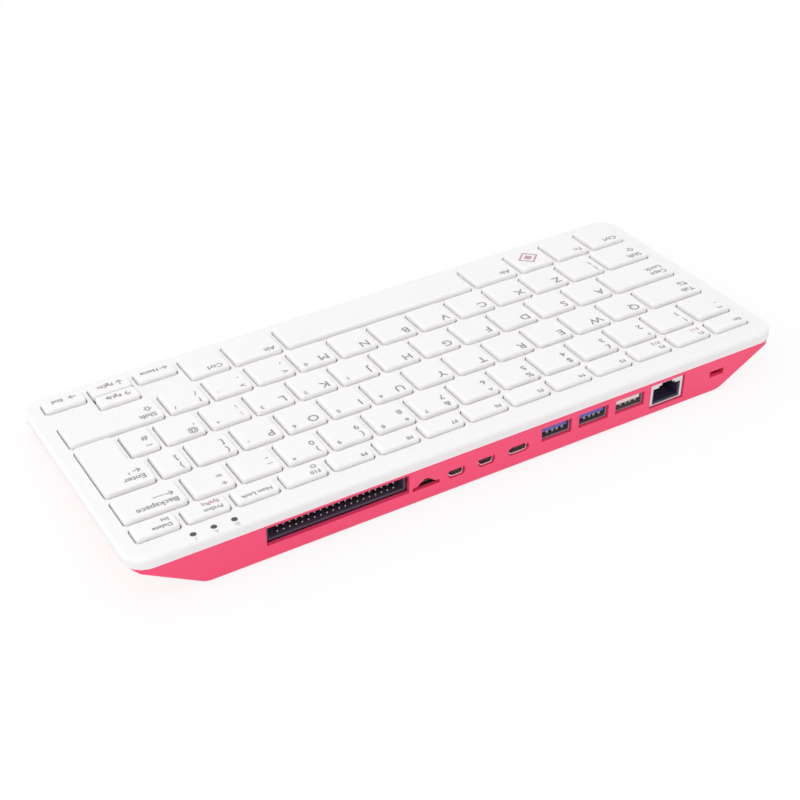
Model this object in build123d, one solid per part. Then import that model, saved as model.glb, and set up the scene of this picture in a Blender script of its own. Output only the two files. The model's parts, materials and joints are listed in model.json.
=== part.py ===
from build123d import *
import os
from math import asin, cos, radians, sin, tan

# A compact computer built into a keyboard: a white keyboard cover with island keys
# on a wedge-shaped tub, which carries the board and shows its sockets at the rear.
# Frame: +X to the typist's right, +Y to the rear with the sockets, +Z up.
# The origin is under the middle of the case, on the surface that the feet stand on.
# All sizes are in millimetres.

# Case
CASE_W = 286.0          # width across the cover's rim
CASE_D = 122.0          # depth of the cover, along the deck
REAR_H = 21.8           # deck's rear edge above the underside of the tub
FRONT_H = 9.26          # deck's front edge above the underside of the tub
RIM_H = 4.5             # height of the cover's rim, square to the deck
RIM_T = 2.0             # thickness of the rim
RIM_R = 1.5             # rounding of the rim's upper edge
CORNER_R = 9.0          # plan radius of the cover's corners
SKIN = 1.2              # thickness of the deck plate
TUB_INSET = 0.8         # the tub starts this far inside the rim
TUB_T = 1.8             # wall of the tub
LIP_T = 1.2             # lip of the tub that stands inside the rim
LIP_H = 1.5             # what the lip reaches above and below the seam
LIP_CLEAR = 0.15        # between the lip and the rim
CATCH_L = 9.0           # length of a snap catch on the lip
CATCH_OUT = 0.5         # what a catch stands proud of the lip
CATCH_H = 0.7
CATCH_CLEAR = 0.1       # round a catch, in its pocket in the rim
CATCH_MIDDLE = 40.0     # inner catches, from the middle of the case
CATCH_END = 31.0        # outer catches, from the ends of the case
TUB_FLOOR_W = 230.0     # width of the tub's underside at the rear
FRONT_LEAN = 45.0       # slope of the tub's front wall, degrees
END_R = 8.0             # rounding between the sloped ends and the underside
EDGE_R = 1.5            # rounding round the rear face
FOOT_H = 0.8            # what the feet stand proud of the underside
FOOT_R = 5.0
FOOT_SIDE_REAR = 17.0   # rear feet, in from the ends of the underside's rear edge
FOOT_SIDE_FRONT = 3.0   # front feet, in from the same ends
FOOT_REAR = 13.0        # rear feet, in front of the rear face
FOOT_FRONT = 9.7        # front feet, behind the underside's front edge

# Key field, in deck coordinates: x to the right, y up the slope, z square to the deck
SIDE_MARGIN = 7.1       # deck beside the key field
REAR_MARGIN = 10.4      # deck behind the key field
FRONT_MARGIN = 6.2      # deck in front of the key field
GAP = 2.7               # space between neighbouring keys
ROW_UNITS = 14.45       # key pitches across a row
ROWS = 4                # full rows, between the function row and the bottom row
FUNCTION_D = 9.2        # depth of the function keys
BOTTOM_D = 17.5         # depth of the bottom row
HALF_GAP = 0.8          # space between the up and down keys
NARROW_UNITS = 0.755    # the two slim keys beside the enter key, in key pitches
KEY_RISE = 2.0          # key tops above the deck
KEY_TRAVEL = 1.6
KEY_SKIRT = 0.9         # what a keycap reaches below the deck at rest
KEY_WALL = 1.1
KEY_TOP = 1.0           # thickness of a keycap's top
KEY_CORNER = 1.0        # corner cut of a keycap
KEY_DRAFT = 3.0         # draft of a keycap's sides, degrees
KEY_CLEAR = 0.5         # round each keycap, in its hole in the deck
STEM = 3.2              # square stem under a keycap
STEM_CLEAR = 0.25       # round the stem, in its guide
GUIDE_T = 0.8           # wall of the guide
STOP_CLEAR = 0.2        # left under a key that is fully down
GUIDE_CLEAR = 0.3       # left between a guide and the keycap over it, key down
FRAME_T = 1.1           # guide frame
FRAME_EDGE = 1.4        # what the frame reaches past the key field
FRAME_LIP = 1.0         # wall round the frame, up to the deck plate
DOME_SHEET_T = 0.25
DOME_BASE = 3.4         # square foot of a rubber dome
DOME_TIP = 2.2
DOME_CLEAR = 0.1        # from a dome's tip to the stem above it
MEMBRANE_T = 0.2
BACKPLATE_T = 0.4
LENS_R = 1.2            # indicator lenses
LENS_END = 34.0         # middle one of the three, from the end of the case
LENS_REAR = 4.8         # from the rear edge of the deck
LENS_PITCH = 8.0

# Board, level with the tub's underside; depths are measured forwards from the rear face
BOARD_TOP = 6.8         # upper face above the underside of the tub
BOARD_T = 1.6
BOARD_X = (-101.0, 97.0)
BOARD_D = 66.0
BOARD_CLEAR = 0.4       # from the board's rear edge to the rear wall
SHELL_T = 0.4           # sheet metal of the sockets
HOLE_CLEAR = 0.4        # round a socket, in the rear wall
SCREW_R = 1.25
SCREW_HEAD_R = 2.3
SCREW_HEAD_H = 1.1
SCREW_X = 62.0
SCREW_BACK = (26.0, 48.0)
SCREW_END = 0.4         # left under a screw's tip
BOSS_R = 3.2
PILOT_R = 1.05
CHIP_H = 0.9
MEMORY = (24.0, 40.0, 10.0, 14.0)           # x, depth, width and length of each chip
SOCKET_CHIP = (-30.0, 30.0, 9.0, 9.0)
NETWORK_CHIP = (-50.0, 46.0, 7.0, 7.0)
POWER_CHIP = (30.0, 58.0, 5.0, 5.0)
CAN_X = -24.0
CAN_BACK = 50.0
CAN_W = 12.0
CPU_W = 15.0
CPU_H = 1.0
CPU_X = 2.0
CPU_BACK = 40.0
PAD_W = 13.0
PAD_T = 0.6
SPREADER_X = (-76.0, 72.0)
SPREADER_BACK = (19.0, 56.0)
SPREADER_T = 1.0
DIMPLE_R = 3.6

# Sockets along the rear, named from the typist's right to left
HEADER_IN = 32.2        # the header's end that is nearer the middle
HEADER_W = 58.4
HEADER_H = 7.8
HEADER_D = 9.0
HEADER_T = 1.1
HEADER_SET = 2.0        # recess of the pin header behind the rear face
HEADER_LIFT = 0.6       # header above the board
PIN = 0.64
PIN_PITCH = 2.54
PIN_COUNT = 20          # in each of two rows
PIN_SHORT = 0.4         # pin tips behind the header's mouth
PIN_TAIL = 2.0          # first row's bend behind the header
CARD_X = 24.4
CARD_W = 11.8           # width of the card slot in the wall
CARD_SET = 3.2          # the card socket's mouth behind the rear face
CARD_SOCKET_W = 14.0
CARD_SOCKET_D = 15.0
CARD_SOCKET_H = 1.4
CARD_BACK = 1.0         # closed end of the card socket
CARD_MOUTH = 11.2
CARD_T = 0.9
NOTCH_H = 4.0           # finger notch over the card slot
NOTCH_FOOT = 8.0        # its width where it leaves the slot
NOTCH_WAIST = 5.2       # half way up
NOTCH_TIP = 2.8         # and at the top
SMALL_SET = 0.6         # mouths of the display and power sockets behind the rear face
HDMI_X = (10.9, -2.5)
HDMI_W = 6.6
HDMI_H = 3.1
HDMI_D = 7.5
HDMI_CUT = 0.9          # slanted lower corners
USB_C_X = -17.0
USB_C_W = 8.9
USB_C_H = 3.2
USB_C_D = 7.8
USB_FIRST = -34.5       # the three large sockets, from here at one pitch
USB_PITCH = 17.5
USB_SET = 1.1           # their mouths behind the rear face
USB_W = 13.2
USB_H = 5.8
USB_D = 14.0
USB_LIFT = 1.2          # shells above the board
TONGUE_T = 0.7          # tongues of the two small socket types
TONGUE_SHARE = 0.66     # part of the shell's width that they take
TONGUE_SET = 0.7        # their tips behind the mouth
USB_TONGUE_W = 11.2
USB_TONGUE_T = 1.9
USB_TONGUE_L = 8.6
USB_TONGUE_DROP = 0.7   # under the shell's ceiling
USB_TONGUE_SET = 0.6    # tongue tip behind the mouth
LAN_X = -88.1
LAN_SET = 0.7           # mouth of the network jack behind the rear face
LAN_W = 15.9
LAN_H = 10.8
LAN_D = 15.6
LAN_DROP = 2.8          # the jack sinks through the board by this much
PLUG_W = 11.8
PLUG_H = 6.8
PLUG_D = 12.0
PLUG_FLOOR = 1.5        # plug hollow above the jack's underside
LATCH_W = 6.2           # first step of the latch notch
LATCH_H = 1.0
LATCH_TIP_W = 3.4       # second step
JACK_SHOW = 0.8         # black moulding that shows beside and under the plug's hollow
CONTACT = 0.4
CONTACT_PITCH = 1.02
CONTACT_COUNT = 8
CONTACT_RISE = 2.4
CONTACT_RUN = 7.0
LOCK_END = 29.9         # security slot, from the end of the case
LOCK_Z = 9.8            # above the tub's underside
LOCK_W = 7.0
LOCK_H = 3.0
LOCK_ROOM = 8.0         # hollow behind the slot, in which a lock's head turns
LOCK_DEPTH = 3.6
LOCK_T = 1.2            # wall of the box round that hollow
VENT_W = 2.0
VENT_L = 16.0
VENT_PITCH = 5.5
VENT_COUNT = 20
VENT_FRONT = 25.7       # middle of the air slots, behind the underside's front edge

# Ribbon between the key membrane and the board
RIBBON_X = 84.0
RIBBON_W = 16.0
RIBBON_T = 0.3
RIBBON_BACK = 36.0
RIBBON_R = 2.5
RIBBON_SLOT = 2.0
RIBBON_SOCKET_BACK = 50.0
RIBBON_SOCKET_D = 4.5
RIBBON_SOCKET_H = 2.0
RIBBON_EAR = 1.5        # socket past each edge of the ribbon

CUT = 1.0               # what cutters reach past the faces that they open

# Frame of the deck
SLOPE = asin((REAR_H - FRONT_H) / CASE_D)
RUN = cos(SLOPE)
LIFT = sin(SLOPE)
REAR_REACH = CASE_D / 2 * RUN + RIM_H * LIFT
FRONT_REACH = CASE_D / 2 * RUN - RIM_R * (RUN + LIFT - 1)
DECK_Y = (FRONT_REACH - REAR_REACH) / 2
DECK_Z = FOOT_H + REAR_H - CASE_D / 2 * LIFT
DECK = Plane(origin=(0, DECK_Y, DECK_Z), x_dir=(1, 0, 0), z_dir=(0, -LIFT, RUN))

# Levels of the key mechanism, in deck coordinates
CEILING = KEY_RISE - KEY_TOP
GUIDE_TOP = CEILING - KEY_TRAVEL - GUIDE_CLEAR
FRAME_TOP = -(KEY_SKIRT + KEY_TRAVEL + STOP_CLEAR)
FRAME_LOW = FRAME_TOP - FRAME_T
DOME_TOP = FRAME_LOW + KEY_TRAVEL
STEM_LOW = DOME_TOP + DOME_CLEAR
DOME_LOW = FRAME_LOW - DOME_SHEET_T
MEMBRANE_LOW = DOME_LOW - MEMBRANE_T
BACKPLATE_LOW = MEMBRANE_LOW - BACKPLATE_T

# Levels and edges of the tub and board, in the case's frame
REAR_Y = DECK_Y + (CASE_D / 2 - TUB_INSET) * RUN + RIM_H * LIFT
WALL_Y = REAR_Y - TUB_T
FLOOR = FOOT_H + TUB_T
BOARD_Z = FOOT_H + BOARD_TOP
BOARD_LOW = BOARD_Z - BOARD_T
BOARD_REAR = WALL_Y - BOARD_CLEAR
SMALL_MOUTH = REAR_Y - SMALL_SET
USB_MOUTH = REAR_Y - USB_SET
LAN_MOUTH = REAR_Y - LAN_SET
SPREADER_LOW = BOARD_Z + CPU_H + PAD_T
SCREWS = [(x, REAR_Y - back) for x in (-SCREW_X, SCREW_X) for back in SCREW_BACK]


def block(x, y, z):
    """Box between a lower and an upper limit along each axis."""
    size = [limits[1] - limits[0] for limits in (x, y, z)]
    return Pos(x[0], y[0], z[0]) * Box(*size, align=(Align.MIN, Align.MIN, Align.MIN))


def around(middle, width):
    """The two limits of a width about its middle."""
    return middle - width / 2, middle + width / 2


def post(x, y, low, high, radius):
    """Upright cylinder between two levels."""
    return Pos(x, y, low) * Cylinder(radius, high - low, align=(Align.CENTER, Align.CENTER, Align.MIN))


def rear_profile(points, x, z, front, depth):
    """Prism with a profile in the X-Z plane, from front towards the rear."""
    face = make_face(Polyline(*[(px, pz) for px, pz in points], close=True))
    return extrude(Plane(origin=(x, front, z), x_dir=(1, 0, 0), z_dir=(0, -1, 0)) * face, -depth)


# Key layout
FUNCTION_NAMES = ["escape", *[f"f{n}" for n in range(1, 11)], "num_lock", "print_screen", "delete"]
FIELD_W = CASE_W - 2 * SIDE_MARGIN
FUNCTION_W = (FIELD_W + GAP) / len(FUNCTION_NAMES) - GAP
FUNCTION_Y = CASE_D / 2 - REAR_MARGIN
NUMBER_ROW_Y = FUNCTION_Y - FUNCTION_D - GAP
BOTTOM_Y = BOTTOM_D + FRONT_MARGIN - CASE_D / 2
PITCH_X = (FIELD_W + GAP) / ROW_UNITS
PITCH_Y = (NUMBER_ROW_Y - BOTTOM_Y) / ROWS


def wide(units):
    """Width of a key that takes a number of key pitches."""
    return units * PITCH_X - GAP


KEY_W = wide(1)
KEY_D = PITCH_Y - GAP
NARROW_W = wide(NARROW_UNITS)


def lay_row(entries, rear, depth):
    """Place a row from left to right; the entry without a width takes what is left."""
    taken = sum(width for _, width in entries if width) + GAP * (len(entries) - 1)
    left = -FIELD_W / 2
    row = {}
    for name, width in entries:
        right = left + (width or FIELD_W - taken)
        row[name] = (left, right, rear - depth, rear)
        left = right + GAP
    return row


def plain(names):
    return [(name, KEY_W) for name in names]


ARROWS = [("right_ctrl", FUNCTION_W), ("left", FUNCTION_W), ("up", FUNCTION_W), ("right", FUNCTION_W)]
HALF_D = (BOTTOM_D - HALF_GAP) / 2
KEYS = {
    **lay_row([(name, FUNCTION_W) for name in FUNCTION_NAMES], FUNCTION_Y, FUNCTION_D),
    **lay_row(plain(["grave", *"1234567890", "minus", "equal"]) + [("backspace", None)],
              NUMBER_ROW_Y, KEY_D),
    **lay_row([("tab", wide(1.5))] + plain([*"qwertyuiop", "open"])
              + [("close", NARROW_W), ("enter", None)], NUMBER_ROW_Y - PITCH_Y, KEY_D),
    **lay_row([("caps_lock", wide(1.75))] + plain([*"asdfghjkl", "semicolon", "quote"])
              + [("hash", NARROW_W), ("enter_front", None)], NUMBER_ROW_Y - 2 * PITCH_Y, KEY_D),
    **lay_row([("left_shift", wide(1.25))] + plain(["backslash", *"zxcvbnm", "comma", "stop", "slash"])
              + [("right_shift", None)], NUMBER_ROW_Y - 3 * PITCH_Y, KEY_D),
    **lay_row(plain(["left_ctrl", "fn", "system"]) + [("left_alt", wide(1.25)), ("space", None),
              ("right_alt", wide(1.25))] + ARROWS, BOTTOM_Y, BOTTOM_D),
}
for half in ("left", "right", "down"):
    x0, x1, y0, y1 = KEYS["up" if half == "down" else half]
    KEYS[half] = (x0, x1, y0, y0 + HALF_D)
x0, x1, y0, y1 = KEYS["up"]
KEYS["up"] = (x0, x1, y1 - HALF_D, y1)
ENTER_FRONT = KEYS.pop("enter_front")

BANKS = {
    "function_keys_left": ["f1", "f2", "f3", "f4", "f5"],
    "function_keys_right": ["f6", "f7", "f8", "f9", "f10"],
    "number_keys_left": ["grave", *"12345"],
    "number_keys_right": [*"67890", "minus", "equal"],
    "top_row_keys_left": [*"qwert"],
    "top_row_keys_right": [*"yuiop", "open", "close"],
    "home_row_keys_left": [*"asdfg"],
    "home_row_keys_right": [*"hjkl", "semicolon", "quote", "hash"],
    "lower_row_keys_left": ["backslash", *"zxcvb"],
    "lower_row_keys_right": [*"nm", "comma", "stop", "slash"],
}
BANKED = [name for names in BANKS.values() for name in names]
SINGLES = [name for name in KEYS if name not in BANKED]


def rectangle(limits):
    """Plan rectangle from its x and y limits."""
    x0, x1, y0, y1 = limits
    return Pos((x0 + x1) / 2, (y0 + y1) / 2) * Rectangle(x1 - x0, y1 - y0)


def key_plan(name):
    """Sharp-cornered plan of a key; the enter key turns a corner into the home row."""
    if name != "enter":
        return rectangle(KEYS[name])
    x0, x1, y0, y1 = KEYS["enter"]
    left, _, front, _ = ENTER_FRONT
    corners = [(x0, y0), (left, y0), (left, front), (x1, front), (x1, y1), (x0, y1)]
    return make_face(Polyline(*corners, close=True))


def cut_corners(plan):
    return chamfer(plan.vertices(), KEY_CORNER)


def stems(name):
    """Stem places under a key: the first one presses the dome, the others only guide."""
    x0, x1, y0, y1 = KEYS[name]
    middle = ((x0 + x1) / 2, (y0 + y1) / 2)
    if name == "enter":
        left, right, front, rear = ENTER_FRONT
        return [middle, ((left + right) / 2, (front + rear) / 2)]
    if x1 - x0 < wide(2):
        return [middle]
    reach = (x1 - x0 - KEY_W) / 2
    return [middle, (middle[0] - reach, middle[1]), (middle[0] + reach, middle[1])]


def keycap(name):
    """Hollow cap with drafted sides and the stems that run in the guide frame."""
    plan = key_plan(name)
    cap = extrude(Pos(0, 0, -KEY_SKIRT) * cut_corners(plan), KEY_SKIRT + KEY_RISE, taper=KEY_DRAFT)
    hollow = offset(plan, -KEY_WALL, kind=Kind.INTERSECTION)
    cap -= extrude(Pos(0, 0, -KEY_SKIRT) * hollow, KEY_SKIRT + CEILING)
    for x, y in stems(name):
        cap += block(around(x, STEM), around(y, STEM), (STEM_LOW, CEILING))
    return DECK * cap


def key_holes():
    """Plans of the holes in the deck; the up and down keys share one."""
    plans = []
    for name in KEYS:
        if name == "up":
            continue
        plan = key_plan(name)
        if name == "down":
            plan = rectangle((*KEYS["down"][:3], KEYS["up"][3]))
        plans.append(offset(cut_corners(plan), KEY_CLEAR, kind=Kind.INTERSECTION))
    return plans


LENS_X = CASE_W / 2 - LENS_END
LENSES = [(LENS_X + step * LENS_PITCH, CASE_D / 2 - LENS_REAR) for step in (-1, 0, 1)]


def rim_inset(inset):
    """Plan of the cover, moved in from the rim's outer face."""
    return RectangleRounded(CASE_W - 2 * inset, CASE_D - 2 * inset, CORNER_R - inset)


def catches(clear):
    """Snap catches along the front and rear of the tub's lip, grown by a clearance."""
    face = CASE_D / 2 - RIM_T - LIP_CLEAR
    high = LIP_H - RIM_H - clear
    size = [CATCH_L + 2 * clear, 2 * (CATCH_OUT + clear), CATCH_H + 2 * clear]
    return [
        Pos(end * x, side * face, high - CATCH_H / 2) * Box(*size)
        for x in (CATCH_MIDDLE, CASE_W / 2 - CATCH_END) for end in (-1, 1) for side in (-1, 1)
    ]


def top_cover():
    """Deck plate with a hole for every key and a rounded rim that meets the tub."""
    shell = extrude(RectangleRounded(CASE_W, CASE_D, CORNER_R), -RIM_H)
    shell = fillet(shell.faces().sort_by(Axis.Z)[-1].edges(), RIM_R)
    shell -= extrude(Pos(0, 0, -SKIN) * rim_inset(RIM_T), SKIN - RIM_H)
    holes = [extrude(Pos(0, 0, -SKIN - CUT) * plan, SKIN + 2 * CUT) for plan in key_holes()]
    holes += [post(x, y, -SKIN - CUT, CUT, LENS_R) for x, y in LENSES]
    holes += catches(CATCH_CLEAR)
    return DECK * (shell - holes)


def indicator_lenses():
    """Three round lenses, flush with both faces of the deck plate."""
    return [DECK * post(x, y, -SKIN, 0, LENS_R) for x, y in LENSES]


def field_plate(low, high, edge):
    """Plate under the whole key field, edge past the outermost keys."""
    front = min(limits[2] for limits in KEYS.values())
    rear = max(limits[3] for limits in KEYS.values())
    return block(around(0, FIELD_W + 2 * edge), (front - edge, rear + edge), (low, high))


def key_frame():
    """Moulded frame with a square guide for every stem and a lip that meets the deck plate."""
    frame = field_plate(FRAME_LOW, -SKIN, FRAME_EDGE)
    frame -= field_plate(FRAME_TOP, 0, FRAME_EDGE - FRAME_LIP)
    places = [place for name in KEYS for place in stems(name)]
    bore = STEM + 2 * STEM_CLEAR
    outer = bore + 2 * GUIDE_T
    frame += [block(around(x, outer), around(y, outer), (FRAME_TOP, GUIDE_TOP)) for x, y in places]
    frame -= [block(around(x, bore), around(y, bore), (FRAME_LOW - CUT, CUT)) for x, y in places]
    return DECK * frame


def dome_sheet():
    """Silicone sheet with one collapsing dome under each key."""
    sheet = field_plate(DOME_LOW, FRAME_LOW, FRAME_EDGE)
    for name in KEYS:
        x, y = stems(name)[0]
        foot = Pos(x, y, FRAME_LOW) * Rectangle(DOME_BASE, DOME_BASE)
        tip = Pos(x, y, DOME_TOP) * Rectangle(DOME_TIP, DOME_TIP)
        sheet += loft([foot, tip])
    return DECK * sheet


def switch_membrane():
    """Printed film that closes a contact where a dome is pressed down."""
    return DECK * field_plate(MEMBRANE_LOW, DOME_LOW, FRAME_EDGE)


RIBBON_Y = REAR_Y - RIBBON_BACK
RIBBON_SOCKET_Y = REAR_Y - RIBBON_SOCKET_BACK


def ribbon_points():
    """Ribbon route in the Y-Z plane: down from the membrane, then level into its socket."""
    along = (RIBBON_Y - DECK_Y + MEMBRANE_LOW * LIFT) / RUN
    top = DECK_Z + along * LIFT + MEMBRANE_LOW * RUN
    level = BOARD_Z + RIBBON_SOCKET_H / 2
    return [(RIBBON_Y, top), (RIBBON_Y, level), (RIBBON_SOCKET_Y + RIBBON_SOCKET_D / 2, level)]


def keyboard_backplate():
    """Steel plate that closes the key mechanism, with a slot for the ribbon."""
    plate = DECK * field_plate(BACKPLATE_LOW, MEMBRANE_LOW, FRAME_EDGE)
    high = ribbon_points()[0][1]
    slot = block(around(RIBBON_X, RIBBON_W + RIBBON_SLOT), around(RIBBON_Y, RIBBON_T + RIBBON_SLOT),
                 (high - 2 * CUT, high + CUT))
    return plate - slot


def keyboard_ribbon():
    """Flat flexible cable from the membrane to its socket on the board."""
    route = FilletPolyline(*ribbon_points(), radius=RIBBON_R)
    strip = trace(route, RIBBON_T)
    upright = Plane(origin=(RIBBON_X - RIBBON_W / 2, 0, 0), x_dir=(0, 1, 0), z_dir=(1, 0, 0))
    ribbon = extrude(upright * strip, RIBBON_W)
    room = block(around(RIBBON_X, RIBBON_W + 2 * CUT), (RIBBON_SOCKET_Y, RIBBON_Y + CUT),
                 (0, FOOT_H + REAR_H))
    return ribbon & (room - DECK * field_plate(MEMBRANE_LOW, 0, FRAME_EDGE))


def ribbon_socket():
    """Low socket on the board that clamps the end of the ribbon."""
    return block(around(RIBBON_X, RIBBON_W + 2 * RIBBON_EAR), around(RIBBON_SOCKET_Y, RIBBON_SOCKET_D),
                 (BOARD_Z, BOARD_Z + RIBBON_SOCKET_H))


# Tub
SEAM = DECK.offset(-RIM_H)
SEAM_X = CASE_W / 2 - TUB_INSET
SEAM_Y = CASE_D / 2 - TUB_INSET
SEAM_FRONT = SEAM.from_local_coords(Vector(0, -SEAM_Y, 0))
UNDER_FRONT = SEAM_FRONT.Y + (SEAM_FRONT.Z - FOOT_H) / tan(radians(FRONT_LEAN))


def tub_wedge(inset, top):
    """Wedge between the underside, the rear face and the sloped front and ends, all moved in."""
    slope = Vector(0, RUN, LIFT)
    foot = Vector(TUB_FLOOR_W / 2, REAR_Y, FOOT_H)
    edge = SEAM.from_local_coords(Vector(SEAM_X, SEAM_Y, 0))
    lean = radians(FRONT_LEAN)
    normal = (foot - edge).cross(slope).normalized()
    walls = [
        Plane(origin=edge, z_dir=normal),
        Plane(origin=(-edge.X, edge.Y, edge.Z), z_dir=(-normal.X, normal.Y, normal.Z)),
        Plane(origin=SEAM_FRONT, z_dir=(0, -sin(lean), -cos(lean))),
        Plane(origin=(0, REAR_Y, 0), z_dir=(0, 1, 0)),
        Plane(origin=(0, 0, FOOT_H), z_dir=(0, 0, -1)),
    ]
    body = block(around(0, 2 * CASE_W), around(0, 2 * CASE_D), (-REAR_H, 3 * REAR_H))
    for wall in walls:
        body = split(body, bisect_by=wall.offset(-inset), keep=Keep.BOTTOM)
    return split(body, bisect_by=SEAM.offset(top), keep=Keep.BOTTOM)


def tub_shell():
    """Outer wedge with rounded edges, trimmed to the cover's corners, and its hollow."""
    outer = tub_wedge(0, 0)
    underside = outer.faces().sort_by(Axis.Z)[0]
    ends = [edge for edge in underside.edges() if abs(edge.center().X) > TUB_FLOOR_W / 4]
    outer = fillet(ends, END_R)
    rear = outer.faces().sort_by(Axis.Y)[-1]
    seam_edge = rear.edges().sort_by(Axis.Z)[-1]
    outer = fillet([edge for edge in rear.edges() if edge.center() != seam_edge.center()], EDGE_R)
    trim = RectangleRounded(2 * SEAM_X + TUB_INSET, 2 * SEAM_Y + TUB_INSET, CORNER_R)
    outer &= DECK * extrude(Pos(0, 0, -2 * REAR_H) * trim, 3 * REAR_H)
    return outer - tub_wedge(TUB_T, RIM_H)


def tub_lip():
    """Ring on the tub that centres the cover, with the snap catches that hold it."""
    face = RIM_T + LIP_CLEAR
    ring = extrude(Pos(0, 0, -RIM_H - LIP_H) * (rim_inset(face) - rim_inset(face + LIP_T)), 2 * LIP_H)
    return DECK * (ring + catches(0))


def through_wall(x, z):
    """Cutter through the rear wall."""
    return block(x, (WALL_Y - CUT, REAR_Y + CUT), z)


def grown(middle, width):
    """Limits of a hole in the rear wall, with clearance round a socket."""
    return around(middle, width + 2 * HOLE_CLEAR)


def level(low, height):
    """Upright limits of a hole round a socket that stands on low."""
    return low - HOLE_CLEAR, low + height + HOLE_CLEAR


HEADER_X = HEADER_IN + HEADER_W / 2
USB_X = [USB_FIRST - step * USB_PITCH for step in range(3)]
LOCK_X = LOCK_END - CASE_W / 2
VENT_Y = UNDER_FRONT + VENT_FRONT
USB_LOW = BOARD_Z + USB_LIFT
LAN_LOW = BOARD_Z - LAN_DROP
HEADER_LOW = BOARD_Z + HEADER_LIFT
CARD_LOW = BOARD_Z + (CARD_SOCKET_H - CARD_T) / 2


def card_slot():
    """Card slot in the rear wall with the finger notch over it."""
    half, foot, waist, tip = [width / 2 for width in (CARD_W, NOTCH_FOOT, NOTCH_WAIST, NOTCH_TIP)]
    high = CARD_T + HOLE_CLEAR
    right = [(half, -HOLE_CLEAR), (half, high), (foot, high + HOLE_CLEAR / 2), (waist, (high + NOTCH_H) / 2),
             (tip, NOTCH_H - HOLE_CLEAR), (tip / 2, NOTCH_H)]
    points = right + [(-x, z) for x, z in reversed(right)]
    return rear_profile(points, CARD_X, CARD_LOW, WALL_Y - CUT, TUB_T + 2 * CUT)


def lock_box():
    """Box behind the security slot, closed towards the inside of the case."""
    middle = FOOT_H + LOCK_Z
    outside = LOCK_ROOM + 2 * LOCK_T
    depth = (WALL_Y - LOCK_DEPTH - LOCK_T, REAR_Y - TUB_T / 2)
    box = block(around(LOCK_X, outside), depth, around(middle, outside))
    return box - block(around(LOCK_X, LOCK_ROOM), (WALL_Y - LOCK_DEPTH, WALL_Y), around(middle, LOCK_ROOM))


def hdmi_points(grow):
    """Micro socket profile: flat top, slanted lower corners."""
    half, low, high = HDMI_W / 2 + grow, -grow, HDMI_H + grow
    return [(-half, high), (half, high), (half, HDMI_CUT), (half - HDMI_CUT, low),
            (HDMI_CUT - half, low), (-half, HDMI_CUT)]


def stadium(width, height, low, front, depth):
    """Prism with round ends across the rear wall."""
    plane = Plane(origin=(USB_C_X, front, low + height / 2), x_dir=(1, 0, 0), z_dir=(0, -1, 0))
    return extrude(plane * SlotOverall(width, height), -depth)


def bottom_tub():
    """Wedge-shaped tub with the socket holes, security slot, air slots and board bosses."""
    tub = tub_shell() + tub_lip() + lock_box()
    inner, through = WALL_Y - CUT, TUB_T + 2 * CUT
    holes = [
        through_wall(grown(HEADER_X, HEADER_W), level(HEADER_LOW, HEADER_H)),
        through_wall(grown(LAN_X, LAN_W), level(LAN_LOW, LAN_H)),
        through_wall(around(LOCK_X, LOCK_W), around(FOOT_H + LOCK_Z, LOCK_H)),
        stadium(USB_C_W + 2 * HOLE_CLEAR, USB_C_H + 2 * HOLE_CLEAR, BOARD_Z - HOLE_CLEAR, inner, through),
        card_slot(),
    ]
    holes += [through_wall(grown(x, USB_W), level(USB_LOW, USB_H)) for x in USB_X]
    holes += [rear_profile(hdmi_points(HOLE_CLEAR), x, BOARD_Z, inner, through) for x in HDMI_X]
    for step in range(VENT_COUNT):
        x = (step - (VENT_COUNT - 1) / 2) * VENT_PITCH
        holes.append(block(around(x, VENT_W), around(VENT_Y, VENT_L), (0, FLOOR + CUT)))
    tub -= holes
    tub += [post(x, y, FLOOR, BOARD_LOW, BOSS_R) for x, y in SCREWS]
    return tub - [post(x, y, FLOOR, BOARD_LOW + CUT, PILOT_R) for x, y in SCREWS]


def rubber_feet():
    """Round stick-on feet at the corners of the underside."""
    rear = (TUB_FLOOR_W / 2 - FOOT_SIDE_REAR, REAR_Y - FOOT_REAR)
    front = (TUB_FLOOR_W / 2 - FOOT_SIDE_FRONT, UNDER_FRONT + FOOT_FRONT)
    return [post(side * x, y, 0, FOOT_H, FOOT_R) for x, y in (rear, front) for side in (-1, 1)]


# Board and what stands on it
CPU_Y = REAR_Y - CPU_BACK


def main_board():
    """Circuit board with a notch for the sunk network jack."""
    board = block(BOARD_X, (REAR_Y - BOARD_D, BOARD_REAR), (BOARD_LOW, BOARD_Z))
    board -= block(grown(LAN_X, LAN_W), (LAN_MOUTH - LAN_D - HOLE_CLEAR, REAR_Y), (0, REAR_H))
    return board - [post(x, y, 0, REAR_H, SCREW_R) for x, y in SCREWS]


def processor():
    """Main chip, under its metal lid."""
    return block(around(CPU_X, CPU_W), around(CPU_Y, CPU_W), (BOARD_Z, BOARD_Z + CPU_H))


def thermal_pad():
    """Soft pad that carries heat from the main chip to the spreader."""
    low = BOARD_Z + CPU_H
    return block(around(CPU_X, PAD_W), around(CPU_Y, PAD_W), (low, low + PAD_T))


def board_chips():
    """Memory, socket controller, network and power chips."""
    return [
        block(around(x, width), around(REAR_Y - back, length), (BOARD_Z, BOARD_Z + CHIP_H))
        for x, back, width, length in (MEMORY, SOCKET_CHIP, NETWORK_CHIP, POWER_CHIP)
    ]


def wireless_can():
    """Screening can of the radio."""
    can = block(around(CAN_X, CAN_W), around(REAR_Y - CAN_BACK, CAN_W), (BOARD_Z, BOARD_Z + CPU_H))
    return chamfer(can.edges().group_by(Axis.Z)[-1], SHELL_T)


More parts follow.
